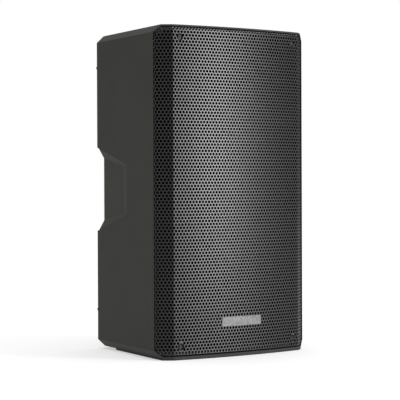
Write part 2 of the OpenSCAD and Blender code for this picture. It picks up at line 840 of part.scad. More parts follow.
module board_standoffs() {
  color([0.75, 0.65, 0.35]) in_frame() for (p = standoff_at) {
    to_back(p[0], board_y + 1.6, p[1]) cylinder(r = 3, h = face_y - plate_t - board_y - 1.6, $fn = 6);
    to_back(p[0], board_y - 3, p[1]) cylinder(r = 1.5, h = 8);
    to_back(p[0], board_y - 2, p[1]) cylinder(r = 2.8, h = 2);
    to_back(p[0], face_y - plate_t - 1, p[1]) cylinder(r = 1.5, h = plate_t + 2);
    to_back(p[0], face_y, p[1]) cylinder(r = 2.8, h = 1.5);
  }
}

// Transformer, reservoir capacitors and power transistors on the front of the board
module power_supply() {
  color([0.7, 0.6, 0.2]) in_frame() {
    block(20, 66, board_y - 36, board_y, 72, 122);
    for (x = [-58, -30]) for (z = [76, 106]) to_back(x, board_y - 34, z) cylinder(r = 11, h = 34);
    for (i = [0 : 3]) block(-60 + i * 22, -45 + i * 22, board_y - 6, board_y, 196, 216);
  }
}

module mains_inlet() {
  mouth_w = 24;
  mouth_h = 16.5;
  back = 22;
  color([0.04, 0.04, 0.04]) in_frame() {
    difference() {
      union() {
        block(inlet_x - 25, inlet_x + 25, face_y, face_y + 2.5, mains_z - 12, mains_z + 12);
        block(inlet_x - 14, inlet_x + 14, face_y - back, face_y + eps, mains_z - 10.2, mains_z + 10.2);
      }
      block(inlet_x - mouth_w / 2, inlet_x + mouth_w / 2, face_y - back + 3, face_y + 5,
        mains_z - mouth_h / 2, mains_z + mouth_h / 2);
      for (s = [-1, 1]) to_back(inlet_x + s * 20, face_y - 5, mains_z) cylinder(r = 1.6, h = 12);
    }
    for (p = [[-7, -2], [0, 2], [7, -2]])
      block(inlet_x + p[0] - 1, inlet_x + p[0] + 1, face_y - back + 2, face_y - 6,
        mains_z + p[1] - 2, mains_z + p[1] + 2);
  }
}

module rocker_frame() {
  color([0.05, 0.05, 0.05]) in_frame() difference() {
    union() {
      block(rocker_x - 12, rocker_x + 12, face_y, face_y + 2, mains_z - 16, mains_z + 16);
      block(rocker_x - 10, rocker_x + 10, face_y - 18, face_y + eps, mains_z - 14, mains_z + 14);
    }
    block(rocker_x - 8, rocker_x + 8, face_y - 14, face_y + 5, mains_z - 12, mains_z + 12);
    translate([rocker_x - 9, rocker_y, mains_z]) rotate([0, 90, 0]) cylinder(r = 1.55, h = 18);
  }
}

module mains_rocker() {
  color([0.45, 0.06, 0.05]) in_frame() translate([rocker_x, rocker_y, mains_z]) rotate([rocker_tilt, 0, 0]) {
    rotate([90, 0, 90]) linear_extrude(height = 15.2, center = true)
      polygon([[4.2, -11], [3, -5], [2.6, 0], [3, 5], [4.2, 11], [1, 11], [-5, 4], [-5, -4], [1, -11]]);
    rotate([0, 90, 0]) cylinder(r = 1.5, h = 17.6, center = true);
  }
}

module jack_housing(x) {
  difference() {
    union() {
      block(x - 13, x + 13, face_y, face_y + jack_flange_t, jack_z - 15.5, jack_z + 15.5);
      to_back(x, face_y - jack_back, jack_z) cylinder(r = jack_r, h = jack_back + eps);
    }
    to_back(x, face_y - jack_seat, jack_z) cylinder(r = jack_bore_r, h = 30);
    to_back(x, face_y - jack_floor, jack_z) cylinder(r = jack_bore_r - 0.6, h = 10);
    for (s = [-1, 1]) to_back(x + s * 9.5, face_y - 5, jack_z - s * 12) cylinder(r = 1.6, h = 12);
  }
}

// Combined socket: an outer ring for a round plug and a core for a phone plug
module input_jack(x) {
  color([0.05, 0.05, 0.05]) in_frame() difference() {
    union() {
      jack_housing(x);
      to_back(x, face_y - jack_floor - 1, jack_z) cylinder(r = 6.5, h = jack_floor + 1 - jack_seat);
    }
    to_back(x, face_y - 14, jack_z) cylinder(r = 3.3, h = 20);
    for (q = ring_at(5, 3, 90)) to_back(x + q[0], face_y - 12, jack_z - q[1]) cylinder(r = 0.9, h = 20);
    block(x - 4, x + 4, face_y - 6, face_y + 10, jack_z + 10.5, jack_z + 14.3);
  }
}

module input_jack_1() { input_jack(jack_x[0]); }

module input_jack_2() { input_jack(jack_x[1]); }

module link_output() {
  color([0.05, 0.05, 0.05]) in_frame() {
    jack_housing(jack_x[2]);
    for (q = ring_at(3.6, 3, 90))
      to_back(jack_x[2] + q[0], face_y - jack_floor - 1, jack_z - q[1]) cylinder(r = 1.2, h = 9.4);
  }
}

module latch_tab(x) {
  color([0.55, 0.55, 0.55]) in_frame() difference() {
    block(x - 3.7, x + 3.7, face_y - 3.5, face_y + 5, jack_z + 10.8, jack_z + 14);
    for (i = [0 : 2]) block(x - 3, x + 3, face_y + 4.4, face_y + 6, jack_z + 11.3 + i, jack_z + 11.7 + i);
  }
}

module latch_tab_1() { latch_tab(jack_x[0]); }

module latch_tab_2() { latch_tab(jack_x[1]); }

module jack_screws() {
  color([0.3, 0.3, 0.3]) in_frame() for (p = jack_screw_at)
    rear_screw(p[0], face_y + jack_flange_t, p[1], plate_t + jack_flange_t + 3, 1.5, 2.6);
}

module pot_bodies() {
  color([0.4, 0.4, 0.42]) in_frame() for (x = pot_x) difference() {
    union() {
      to_back(x, face_y - plate_t - 10, knob_z) cylinder(r = 8.5, h = 10);
      to_back(x, face_y - plate_t - eps, knob_z) cylinder(r = bush_r, h = plate_t + 1);
    }
    to_back(x, face_y - plate_t - 8, knob_z) cylinder(r = shaft_r + 0.05, h = 20);
  }
}

module knob(x, r) {
  ribs = 18;
  color([0.08, 0.08, 0.08]) in_frame() difference() {
    union() {
      to_back(x, face_y - plate_t - 7.5, knob_z) cylinder(r = shaft_r, h = 16);
      to_back(x, face_y + 1.6, knob_z) cylinder(r = r + 1.5, h = 1.6);
      to_back(x, face_y + 3, knob_z) cylinder(r1 = r, r2 = r - 0.8, h = 11);
    }
    for (q = ring_at(r + 0.35, ribs))
      to_back(x + q[0], face_y + 3.2, knob_z + q[1]) cylinder(r = 0.7, h = 20);
    block(x - 0.5, x + 0.5, face_y + 13.2, face_y + 15, knob_z + 2, knob_z + r);
  }
}

module level_knob_1() { knob(pot_x[0], 6.5); }

module level_knob_2() { knob(pot_x[1], 6.5); }

module preset_knob() { knob(pot_x[2], 8); }

module button(x) {
  color([0.6, 0.6, 0.6]) in_frame() {
    block(x - 4, x + 4, face_y - plate_t - 5, face_y + 3, button_z - 2.5, button_z + 2.5);
    block(x - 5.5, x + 5.5, face_y - plate_t - 5, face_y - plate_t - 3, button_z - 4, button_z + 4);
  }
}

module line_button_1() { button(button_x[0]); }

module line_button_2() { button(button_x[1]); }

module mode_button() { button(button_x[2]); }

module button_switches() {
  color([0.3, 0.3, 0.32]) in_frame() for (x = button_x)
    block(x - 6, x + 6, board_y + 1.6, face_y - plate_t - 7.5, button_z - 5, button_z + 5);
}

module status_leds() {
  color([0.2, 0.75, 0.3]) in_frame() for (i = [0 : 3]) {
    to_back(-64 + i * 12, face_y - plate_t - 5, led_z) cylinder(r = 1.5, h = plate_t + 5);
    translate([-64 + i * 12, face_y, led_z]) sphere(r = 1.5, $fn = 24);
  }
}

// ---- Stand socket and rigging points ----

module pole_socket() {
  color([0.12, 0.12, 0.12]) in_frame() translate([0, pole_y, pad_h]) difference() {
    union() {
      cylinder(r = socket_flange_r, h = socket_flange_t);
      cylinder(r = 22, h = pole_depth + 4);
    }
    translate([0, 0, -1]) cylinder(r = pole_r, h = pole_depth + 1);
    for (q = ring_at(32, 4, 45)) translate([q[0], q[1], -1]) cylinder(r = hole_r, h = 8);
  }
}

module pole_socket_screws() {
  color([0.2, 0.2, 0.2]) in_frame() for (q = ring_at(32, 4, 45)) translate([q[0], pole_y + q[1], 0]) {
    translate([0, 0, pad_h - 2]) cylinder(r = head_r, h = 2);
    translate([0, 0, pad_h - eps]) cylinder(r = screw_r, h = 12);
  }
}

// Blind inserts for 8 mm eye bolts, flush with the cabinet
module rigging_inserts() {
  color([0.6, 0.6, 0.62]) in_frame() for (p = rigging_at)
    translate([p[0], p[1], p[2] > 0 ? total_h : pad_h]) mirror([0, 0, p[2] > 0 ? 1 : 0]) difference() {
      cylinder(r = 8, h = 25);
      translate([0, 0, -1]) cylinder(r = 3.4, h = 23);
    }
}

// ---- Internal wiring ----

lead_r = 1.6;
woofer_lead_route = [
  [-10, board_y - 1, 150], [-10, 222, 150], [-12, 205, 160], [-20, 185, 180],
  [-55, 165, 200], [-92, 140, 212], [-102, 120, 216], [-100, 104, 215.4], [-90.6, 93.5, 212.1]
];
driver_lead_route = [
  [10, board_y - 1, 170], [10, 224, 170], [12, 214, 180], [16, 212, 220], [20, 212, 300], [26, 210, 380],
  [30, 210, 440], [30, 209, 464], [28, 206, 477], [27, 201, 482], [27, 196.3, 482]
];

module woofer_lead() { color([0.7, 0.1, 0.1]) in_frame() lead(smooth_route(woofer_lead_route, 6), lead_r); }

module driver_lead() { color([0.7, 0.1, 0.1]) in_frame() lead(smooth_route(driver_lead_route, 6), lead_r); }

cabinet_shell();
base_pad();
rear_bumpers();
front_baffle();
baffle_gasket();
baffle_screws();
grille();
grille_foam();
grille_screws();
badge();
woofer_basket();
woofer_gasket();
woofer_bolts();
woofer_top_plate();
woofer_magnet();
woofer_back_plate();
woofer_surround();
woofer_spider();
woofer_cone();
woofer_dust_cap();
woofer_voice_coil();
horn();
horn_screws();
driver_body();
driver_back_cover();
hf_diaphragm();
port_left();
port_right();
wadding();
amp_plate();
amp_gasket();
amp_screws();
heatsink();
amp_board();
board_standoffs();
power_supply();
mains_inlet();
rocker_frame();
mains_rocker();
input_jack_1();
input_jack_2();
link_output();
latch_tab_1();
latch_tab_2();
jack_screws();
pot_bodies();
level_knob_1();
level_knob_2();
preset_knob();
line_button_1();
line_button_2();
mode_button();
button_switches();
status_leds();
pole_socket();
pole_socket_screws();
rigging_inserts();
woofer_lead();
driver_lead();
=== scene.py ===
"""Active PA loudspeaker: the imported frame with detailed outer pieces, materials, studio and camera."""
import json
import math

import bmesh
import bpy
import numpy as np
from mathutils import Matrix, Vector, noise
from mathutils.geometry import delaunay_2d_cdt


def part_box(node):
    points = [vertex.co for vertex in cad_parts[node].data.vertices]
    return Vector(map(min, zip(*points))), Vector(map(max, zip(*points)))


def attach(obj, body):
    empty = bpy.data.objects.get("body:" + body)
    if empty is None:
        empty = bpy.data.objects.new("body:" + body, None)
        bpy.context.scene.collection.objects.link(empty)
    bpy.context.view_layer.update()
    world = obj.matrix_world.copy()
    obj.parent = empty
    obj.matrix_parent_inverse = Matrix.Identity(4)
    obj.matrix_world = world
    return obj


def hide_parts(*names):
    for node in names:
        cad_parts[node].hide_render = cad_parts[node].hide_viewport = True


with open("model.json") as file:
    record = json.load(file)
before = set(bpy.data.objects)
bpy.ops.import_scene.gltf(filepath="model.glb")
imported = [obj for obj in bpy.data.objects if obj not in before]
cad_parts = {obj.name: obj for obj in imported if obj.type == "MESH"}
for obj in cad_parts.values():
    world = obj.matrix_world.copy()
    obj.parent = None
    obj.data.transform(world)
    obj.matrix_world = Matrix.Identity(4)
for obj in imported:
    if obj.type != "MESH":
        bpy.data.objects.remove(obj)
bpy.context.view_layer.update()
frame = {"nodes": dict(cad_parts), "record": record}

NODES = frame["nodes"]
ROOT = "cabinet"
MM = 0.001

# ---------------------------------------------------------------- driving sizes
# Plan outline of the front, in metres; the rest is worked out from the frame's boxes.
SHELL_LO, SHELL_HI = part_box("cabinet_shell")
MAX_W = SHELL_HI.x - SHELL_LO.x
BASE_Z, TOP_Z = SHELL_LO.z, SHELL_HI.z
REAR_Y = SHELL_HI.y
FACE_W = 303 * MM
REAR_W = 247.2 * MM
BULGE = 12.7 * MM
BEVEL_D = 24.4 * MM
CHORD_Y = SHELL_LO.y + BULGE
EDGE_CUT_W, EDGE_CUT_H = 16 * MM, 14 * MM
RIM_T = 3 * MM
HANDLE_Z = 313 * MM
HANDLE_HALF_H = 90 * MM
HANDLE_FRONT_Y = CHORD_Y + 120 * MM
HANDLE_DEPTH = 17 * MM
PANEL_HALF_W = 98 * MM

ARC_R = (FACE_W ** 2 / 4 + BULGE ** 2) / (2 * BULGE)
ARC_CENTRE_Y = CHORD_Y + ARC_R - BULGE
BEVEL_ANGLE = math.atan2(BEVEL_D, (MAX_W - FACE_W) / 2)
TAPER = math.atan2((MAX_W - REAR_W) / 2, REAR_Y - CHORD_Y - BEVEL_D)

# Perforated sheet
GRILLE_GAP = 2 * MM
GRILLE_SET = 1.4 * MM
SHEET_T = 1.5 * MM
PITCH = 6.8 * MM
ROW_PITCH = PITCH * math.sqrt(3) / 2
FIRST_ROW = 7.1 * MM
HOLE_R = 2.85 * MM
HOLE_SIDES = 12
CORNER_R = 9 * MM
EDGE_R = 1.4 * MM
FOLD_BACK = 6 * MM
FOLD_STEPS = 4
KNEE_R = 3.5 * MM
DIMPLE_D = 4 * MM
DIMPLE_R0, DIMPLE_R1 = 4.3 * MM, 6.8 * MM
SCREW_X = 135.5 * MM
DIMPLE_STEPS = 5
SCREW_HEAD_R = 3.6 * MM
SCREW_HOLE_R = 2.1 * MM


# ---------------------------------------------------------------- small helpers
def put(name, verts, faces, smooth=False):
    """A new mesh object from points and faces."""
    mesh = bpy.data.meshes.new(name)
    mesh.from_pydata([tuple(v) for v in verts], [], faces)
    mesh.validate()
    if smooth:
        mesh.shade_smooth()
    obj = bpy.data.objects.new(name, mesh)
    bpy.context.scene.collection.objects.link(obj)
    return obj


def apply_modifiers(obj):
    """Turns the modifiers of a new piece into its mesh."""
    graph = bpy.context.evaluated_depsgraph_get()
    mesh = bpy.data.meshes.new_from_object(obj.evaluated_get(graph), depsgraph=graph)
    obj.modifiers.clear()
    obj.data = mesh


def finish_piece(obj, material, slot, *nodes):
    """Gives a piece its material and its body, and hides the nodes that it stands for."""
    obj.data.materials.clear()
    obj.data.materials.append(material)
    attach(obj, ROOT)
    if nodes:
        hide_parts(*nodes)
    return obj


def inset_outline(points, d):
    """A convex outline, listed anticlockwise, with every side moved inward by d."""
    moved = []
    count = len(points)
    for i, q in enumerate(points):
        before = (q - points[i - 1]).normalized()
        after = (points[(i + 1) % count] - q).normalized()
        n1, n2 = Vector((-before.y, before.x)), Vector((-after.y, after.x))
        moved.append(q + (n1 + n2) * (d / (1 + n1.dot(n2))))
    return moved


def rounded(points, radius, steps):
    """A convex outline, listed anticlockwise, with an arc at every corner."""
    curved = []
    count = len(points)
    for i, corner in enumerate(points):
        before = (corner - points[i - 1]).normalized()
        after = (points[(i + 1) % count] - corner).normalized()
        turn = math.atan2(before.x * after.y - before.y * after.x, before.dot(after))
        centre = corner - before * (radius * math.tan(turn / 2)) + Vector((-before.y, before.x)) * radius
        start = math.atan2(-before.x, before.y)
        for k in range(steps + 1):
            angle = start + turn * k / steps
            curved.append(centre + Vector((math.cos(angle), math.sin(angle))) * radius)
    return curved


def subdivided(points, step):
    """A closed outline with extra points, so that no side is longer than step."""
    dense = []
    for i, p in enumerate(points):
        q = points[(i + 1) % len(points)]
        count = max(1, math.ceil((q - p).length / step))
        dense += [p + (q - p) * (k / count) for k in range(count)]
    return dense


# ---------------------------------------------------------------- materials
def new_material(name):
    """An empty material, its node tree and its shader."""
    material = bpy.data.materials.new(name)
    material.use_nodes = True
    tree = material.node_tree
    return material, tree, tree.nodes["Principled BSDF"]


def noise_node(tree, scale, detail=4.0, roughness=0.55, stretch=None):
    """Noise in object space, so that its grain has a real size."""
    coords = tree.nodes.new("ShaderNodeTexCoord")
    source = coords.outputs["Object"]
    if stretch is not None:
        mapping = tree.nodes.new("ShaderNodeMapping")
        mapping.inputs["Scale"].default_value = stretch
        tree.links.new(source, mapping.inputs["Vector"])
        source = mapping.outputs["Vector"]
    texture = tree.nodes.new("ShaderNodeTexNoise")
    texture.inputs["Scale"].default_value = scale
    texture.inputs["Detail"].default_value = detail
    texture.inputs["Roughness"].default_value = roughness
    tree.links.new(source, texture.inputs["Vector"])
    return texture.outputs["Fac"]


def ramp(tree, source, low, high, start=0.3, end=0.7):
    """Two colours or greys spread over a stretch of a factor."""
    node = tree.nodes.new("ShaderNodeValToRGB")
    node.color_ramp.elements[0].position = start
    node.color_ramp.elements[1].position = end
    for element, colour in zip(node.color_ramp.elements, (low, high)):
        element.color = (colour, colour, colour, 1) if isinstance(colour, float) else (*colour, 1)
    tree.links.new(source, node.inputs["Fac"])
    return node.outputs["Color"]


def bump(tree, height, distance):
    """Relief of a given height from a factor."""
    node = tree.nodes.new("ShaderNodeBump")
    node.inputs["Distance"].default_value = distance
    node.inputs["Strength"].default_value = 1.0
    tree.links.new(height, node.inputs["Height"])
    return node.outputs["Normal"]


# How far the roughness goes either side of its middle value
ROUGH_SPREAD = 0.06


def finish_surface(name, low, high, rough, patch=12.0, grain=900.0, depth=0.05 * MM, metallic=0.0,
                   specular=0.5, stretch=None):
    """A material whose colour drifts in patches and whose grain shows in roughness and bump."""
    material, tree, shader = new_material(name)
    patches = noise_node(tree, patch, 5.0)
    fine = noise_node(tree, grain, 3.0, 0.6, stretch)
    tree.links.new(ramp(tree, patches, low, high), shader.inputs["Base Color"])
    rough_from_grain = ramp(tree, fine, rough - ROUGH_SPREAD, rough + ROUGH_SPREAD)
    tree.links.new(rough_from_grain, shader.inputs["Roughness"])
    tree.links.new(bump(tree, fine, depth), shader.inputs["Normal"])
    shader.inputs["Metallic"].default_value = metallic
    shader.inputs["Specular IOR Level"].default_value = specular
    return material


def grey(value, tint=0.0):
    """A neutral, with tint above 0 for a warmer one."""
    return (value * (1 + tint), value, value * (1 - tint))


MAT = {
    "cabinet_plastic": finish_surface("moulded_cabinet", (0.0222, 0.0217, 0.0180), (0.0254, 0.0249, 0.0208),
                                      0.72, 9, 1500, 0.05 * MM, specular=0.25),
    "black_rubber": finish_surface("rubber", grey(0.012), grey(0.017),
                                   0.7, 20, 700, 0.06 * MM, specular=0.3),
    "baffle_plastic": finish_surface("baffle", grey(0.018), grey(0.024), 0.6, 20, 900),
    "black_screw": finish_surface("black_oxide", grey(0.02), grey(0.035),
                                  0.5, 300, 1500, 0.02 * MM, 0.8),
    "grille_paint": finish_surface("powder_coat", grey(0.012, -0.04), grey(0.015, -0.04),
                                   0.37, 14, 1400, 0.03 * MM),
    "foam": finish_surface("open_cell_foam", grey(0.003), grey(0.005),
                           0.95, 60, 1200, 0.4 * MM, specular=0.03),
    "badge_metal": finish_surface("brushed_badge", grey(0.07), grey(0.17),
                                  0.5, 300, 700, 0.04 * MM, 0.3, 0.4),
    "basket_paint": finish_surface("basket_paint", grey(0.02), grey(0.03), 0.5, 30, 900),
    "plated_steel": finish_surface("zinc_plate", (0.42, 0.42, 0.45), (0.56, 0.56, 0.58),
                                   0.32, 60, 1200, 0.02 * MM, 1.0),
    "ferrite": finish_surface("ferrite", grey(0.035), grey(0.05), 0.55, 90, 1300, 0.08 * MM),
    "surround_cloth": finish_surface("doped_cloth", grey(0.012), grey(0.018), 0.6, 90, 1600, 0.12 * MM),
    "spider_cloth": finish_surface("spider_cloth", (0.42, 0.27, 0.1), (0.5, 0.34, 0.14),
                                   0.85, 50, 1600, 0.15 * MM),
    "cone_paper": finish_surface("cone_paper", grey(0.014), grey(0.022), 0.8, 60, 800, 0.2 * MM),
    "cap_cloth": finish_surface("cap_cloth", grey(0.012), grey(0.02), 0.75, 60, 1500, 0.15 * MM),
    "copper": finish_surface("copper_winding", (0.62, 0.26, 0.11), (0.74, 0.34, 0.16),
                             0.35, 200, 600, 0.08 * MM, 1.0, stretch=(1, 30, 1)),
    "moulded_black": finish_surface("moulded_black", grey(0.016), grey(0.022), 0.45, 30, 1100),
    "driver_paint": finish_surface("driver_paint", grey(0.02), grey(0.028), 0.42, 40, 1000),
    "diaphragm_alu": finish_surface("thin_foil", grey(0.68), grey(0.78), 0.25, 80, 900, 0.02 * MM, 1.0),
    "wadding": finish_surface("fibre", (0.55, 0.54, 0.48), (0.72, 0.71, 0.66),
                              0.95, 80, 700, 1.2 * MM, specular=0.1),
    "panel_paint": finish_surface("panel_paint", grey(0.020), grey(0.025), 0.5, 25, 1300, 0.05 * MM),
    "heatsink_black": finish_surface("anodised", grey(0.02), grey(0.028),
                                     0.38, 25, 700, 0.03 * MM, 0.6, stretch=(8, 8, 1)),
    "board_green": finish_surface("solder_mask", (0.006, 0.07, 0.03), (0.012, 0.12, 0.05),
                                  0.35, 150, 500, 0.05 * MM),
    "brass": finish_surface("brass", (0.55, 0.4, 0.17), (0.68, 0.5, 0.24),
                            0.3, 200, 1300, 0.02 * MM, 1.0),
    "supply_parts": finish_surface("wrapped_parts", (0.35, 0.25, 0.04), (0.5, 0.38, 0.07),
                                   0.45, 120, 700),
    "socket_black": finish_surface("socket_black", grey(0.012), grey(0.017), 0.4, 60, 1100, 0.03 * MM),
    "rocker_red": finish_surface("rocker_red", (0.22, 0.006, 0.006), (0.3, 0.012, 0.01),
                                 0.25, 90, 1200, 0.02 * MM),
    "tab_metal": finish_surface("nickel", grey(0.4), grey(0.5), 0.3, 200, 1500, 0.02 * MM, 1.0),
    "knob_black": finish_surface("knob_black", grey(0.016), grey(0.024), 0.5, 90, 1300, 0.04 * MM),
    "button_grey": finish_surface("button_grey", grey(0.22), grey(0.27), 0.45, 90, 1300, 0.03 * MM),
    "led_green": finish_surface("led_lens", (0.02, 0.32, 0.08), (0.04, 0.42, 0.12),
                                0.15, 300, 1500, 0.01 * MM),
    "lead_red": finish_surface("wire_red", (0.34, 0.01, 0.01), (0.42, 0.02, 0.02),
                               0.4, 120, 1100, 0.03 * MM),
}

for part in frame["record"]["subparts"]:
    node = NODES[part["node"]]
    for index in range(max(1, len(node.material_slots))):
        if len(node.material_slots) == 0:
            node.data.materials.append(MAT[part["material_slot"]])
        else:
            node.material_slots[index].material = MAT[part["material_slot"]]


# ---------------------------------------------------------------- plan path of the grille
class PlanPath:
    """Right half of a line in plan that starts at the middle of the front: stretches of a given length and
    curvature, along which the heading turns from +X towards the back."""

    def __init__(self, start_y, stretches):
        self.parts = []
        position, heading, at = Vector((0.0, start_y)), 0.0, 0.0
        for length, curvature in stretches:
            self.parts.append((at, length, curvature, position.copy(), heading))
            position = position + self.step(heading, curvature, length)
            heading += curvature * length
            at += length
        self.length = at

    @staticmethod
    def step(heading, curvature, s):
        """The way covered by a stretch once s of its length is done."""
        if abs(curvature) < 1e-9:
            return Vector((math.cos(heading), math.sin(heading))) * s
        end = heading + curvature * s
        return Vector((math.sin(end) - math.sin(heading), math.cos(heading) - math.cos(end))) / curvature

    def at(self, s):
        """Point and heading at the distance s; a negative s gives the mirrored half."""
        side = -1.0 if s < 0 else 1.0
        s = abs(s)
        start, _, curvature, position, heading = next(
            (p for p in reversed(self.parts) if s >= p[0]), self.parts[0])
        point = position + self.step(heading, curvature, s - start)
        turned = heading + curvature * (s - start)
        return side * point.x, point.y, side * turned


def front_path(set_back):
    """The front outline of the cabinet in plan, set back by a distance, up to the plane of the side."""
    radius = ARC_R - set_back
    bevel_dir = Vector((math.cos(BEVEL_ANGLE), math.sin(BEVEL_ANGLE)))
    bevel_in = Vector((-bevel_dir.y, bevel_dir.x))
    outer = Vector((MAX_W / 2, CHORD_Y + BEVEL_D))
    on_bevel = outer + bevel_in * set_back
    # the corner, where the bevel line crosses the arc
    from_centre = on_bevel - Vector((0.0, ARC_CENTRE_Y))
    along = from_centre.dot(bevel_dir)
    reach = math.sqrt(along ** 2 + radius ** 2 - from_centre.length_squared)
    crossings = [on_bevel - bevel_dir * (along + way * reach) for way in (-1, 1)]
    corner = min(crossings, key=lambda p: abs(p.x - FACE_W / 2))
    arc_angle = math.asin(corner.x / radius)
    turn = BEVEL_ANGLE - arc_angle
    tangent = KNEE_R * math.tan(turn / 2)
    # the end, where the bevel line crosses the plane of the side
    side_out = Vector((math.cos(TAPER), math.sin(TAPER)))
    bevel_end = on_bevel + bevel_dir * ((outer - on_bevel).dot(side_out) / bevel_dir.dot(side_out))
    return PlanPath(ARC_CENTRE_Y - radius, [
        (radius * arc_angle - tangent, 1 / radius),
        (KNEE_R * turn, 1 / KNEE_R),
        ((bevel_end - corner).length - tangent, 0.0),
    ])


def along_path(path, x):
    """Distance along the path at which its x is reached."""
    low, high = 0.0, path.length
    for _ in range(40):
        middle = (low + high) / 2
        low, high = (middle, high) if path.at(middle)[0] < x else (low, middle)
    return low


def placed(path, s, z, depth):
    """A point of a sheet that follows the path, depth behind its front surface."""
    x, y, heading = path.at(s)
    return Vector((x - math.sin(heading) * depth, y + math.cos(heading) * depth, z))


def front_outline(path, d, corner_r):
    """The front's outline in (distance along the path, height), moved inward by d, with rounded corners."""
    stretch = 1 / math.cos(BEVEL_ANGLE - TAPER)
    half = path.length / stretch
    right = [
        (half - EDGE_CUT_W, BASE_Z), (half, BASE_Z + EDGE_CUT_H),
        (half, TOP_Z - EDGE_CUT_H), (half - EDGE_CUT_W, TOP_Z),
    ]
    left = [(-x, z) for x, z in reversed(right)]
    corners = inset_outline([Vector(c) for c in right + left], d)
    return [Vector((p.x * stretch, p.y)) for p in subdivided(rounded(corners, corner_r, 6), 5 * MM)]


# ---------------------------------------------------------------- grille
GRILLE_PATH = front_path(GRILLE_SET)
BEND_LINE = front_outline(GRILLE_PATH, RIM_T + GRILLE_GAP + EDGE_R, CORNER_R)
BEND_LENGTH = EDGE_R * math.pi / 2
SCREW_LO, SCREW_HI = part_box("grille_screws")
SCREW_S = along_path(GRILLE_PATH, SCREW_X)
SCREWS_2D = [Vector((side * SCREW_S, z)) for side in (-1, 1)
             for z in (SCREW_LO.z + SCREW_HEAD_R, SCREW_HI.z - SCREW_HEAD_R)]


def dimple_depth(p):
    """How far a point of the sheet is pressed in near a screw."""
    r = min((p - c).length for c in SCREWS_2D)
    share = (DIMPLE_R1 - r) / (DIMPLE_R1 - DIMPLE_R0)
    share = min(1.0, max(0.0, share))
    return DIMPLE_D * share * share * (3 - 2 * share)


def row_height(j):
    """Height of a row of holes, counted from the top."""
    return TOP_Z - FIRST_ROW - j * ROW_PITCH


def cut_offset(j):
    """Where the cut down the middle crosses a row: on the web beside a hole, or between two holes."""
    return 0.0 if j % 2 else PITCH / 2


def past_outline(points, outline):
    """How far each point lies past a convex outline, and the direction away from it."""
    start = np.array([(q.x, q.y) for q in outline])
    side = np.roll(start, -1, axis=0) - start
    length_2 = (side ** 2).sum(-1)
    distance, direction = [], []
    for first in range(0, len(points), 2000):
        p = np.array([(q.x, q.y) for q in points[first:first + 2000]])[:, None, :]
        offset = p - start
        share = np.clip((offset * side).sum(-1) / length_2, 0, 1)
        away = offset - share[..., None] * side
        gap = np.linalg.norm(away, axis=-1)
        best = gap.argmin(axis=1)
        rows = np.arange(len(best))
        out = side[best][:, 0] * offset[rows, best][:, 1] - side[best][:, 1] * offset[rows, best][:, 0] < 0
        nearest_gap = gap[rows, best]
        distance.append(np.where(out, nearest_gap, -nearest_gap))
        direction.append(away[rows, best] / np.maximum(nearest_gap, 1e-9)[:, None])
    return np.concatenate(distance), np.concatenate(direction)


def hole_centres():
    """Centres of the staggered holes, over the front and the fold, clear of the screws."""
    rows = math.ceil((TOP_Z - BASE_Z) / ROW_PITCH)
    columns = math.ceil((GRILLE_PATH.length + FOLD_BACK) / PITCH)
    centres = []
    for j in range(-2, rows + 2):
        for i in range(-columns, columns + 1):
            p = Vector(((i + (0.5 if j % 2 else 0.0)) * PITCH, row_height(j)))
            if min((p - c).length for c in SCREWS_2D) > DIMPLE_R0 + HOLE_R:
                centres.append(p)
    past, _ = past_outline(centres, BEND_LINE)
    return [p for p, d in zip(centres, past) if d < BEND_LENGTH + FOLD_BACK]


def ring_points(centre, radius, count, turn=0.0):
    """Points spread evenly round a circle."""
    angles = [turn + k * math.tau / count for k in range(count)]
    return [centre + Vector((math.cos(angle), math.sin(angle))) * radius for angle in angles]


def bent(p, past, away):
    """A point of the flat sheet where it lies once the edge is folded back along the sides."""
    if past <= 0:
        return placed(GRILLE_PATH, p.x, p.y, dimple_depth(p))
    angle = min(past / EDGE_R, math.pi / 2)
    depth = EDGE_R * (1 - math.cos(angle)) + max(0.0, past - BEND_LENGTH)
    q = p + Vector(away) * (EDGE_R * math.sin(angle) - past)
    x, y, _ = GRILLE_PATH.at(q.x)
    lean = -math.tan(TAPER) * x / (MAX_W / 2)
    return Vector((x + lean * depth, y + depth, q.y))


def perforated_sheet():
    """The flat sheet as a mesh around every hole: its points, its triangles, and whether each triangle lies
    right of the cut down the middle."""
    verts, edges, faces = [], [], []

    def closed(points, is_face):
        first = len(verts)
        verts.extend(points)
        edges.extend((first + k, first + (k + 1) % len(points)) for k in range(len(points)))
        if is_face:
            faces.append(list(range(first, first + len(points))))

    closed(inset_outline(BEND_LINE, -(BEND_LENGTH + FOLD_BACK)), True)
    for k in range(FOLD_STEPS + 1):
        closed(inset_outline(BEND_LINE, -BEND_LENGTH * k / FOLD_STEPS), False)
    for centre in hole_centres():
        closed(ring_points(centre, HOLE_R, HOLE_SIDES, math.pi / HOLE_SIDES), True)
    for centre in SCREWS_2D:
        for k in range(DIMPLE_STEPS + 1):
            closed(ring_points(centre, DIMPLE_R0 + (DIMPLE_R1 - DIMPLE_R0) * k / DIMPLE_STEPS, 32), False)
        closed(ring_points(centre, SCREW_HOLE_R, 16), True)
    rows = math.ceil((TOP_Z - BASE_Z) / ROW_PITCH)
    first = len(verts)
    verts.extend(Vector((cut_offset(j), row_height(j))) for j in range(-3, rows + 3))
    edges.extend((k, k + 1) for k in range(first, len(verts) - 1))

    points, _, triangles, _, _, origins = delaunay_2d_cdt(verts, edges, faces, 0, 1e-8)
    kept = [list(t) for t, o in zip(triangles, origins) if list(o) == [0]]
    right = []
    for t in kept:
        middle = (points[t[0]] + points[t[1]] + points[t[2]]) / 3
        row = (row_height(0) - middle.y) / ROW_PITCH
        j = math.floor(row)
        right.append(middle.x > cut_offset(j) + (cut_offset(j + 1) - cut_offset(j)) * (row - j))
    return points, kept, right


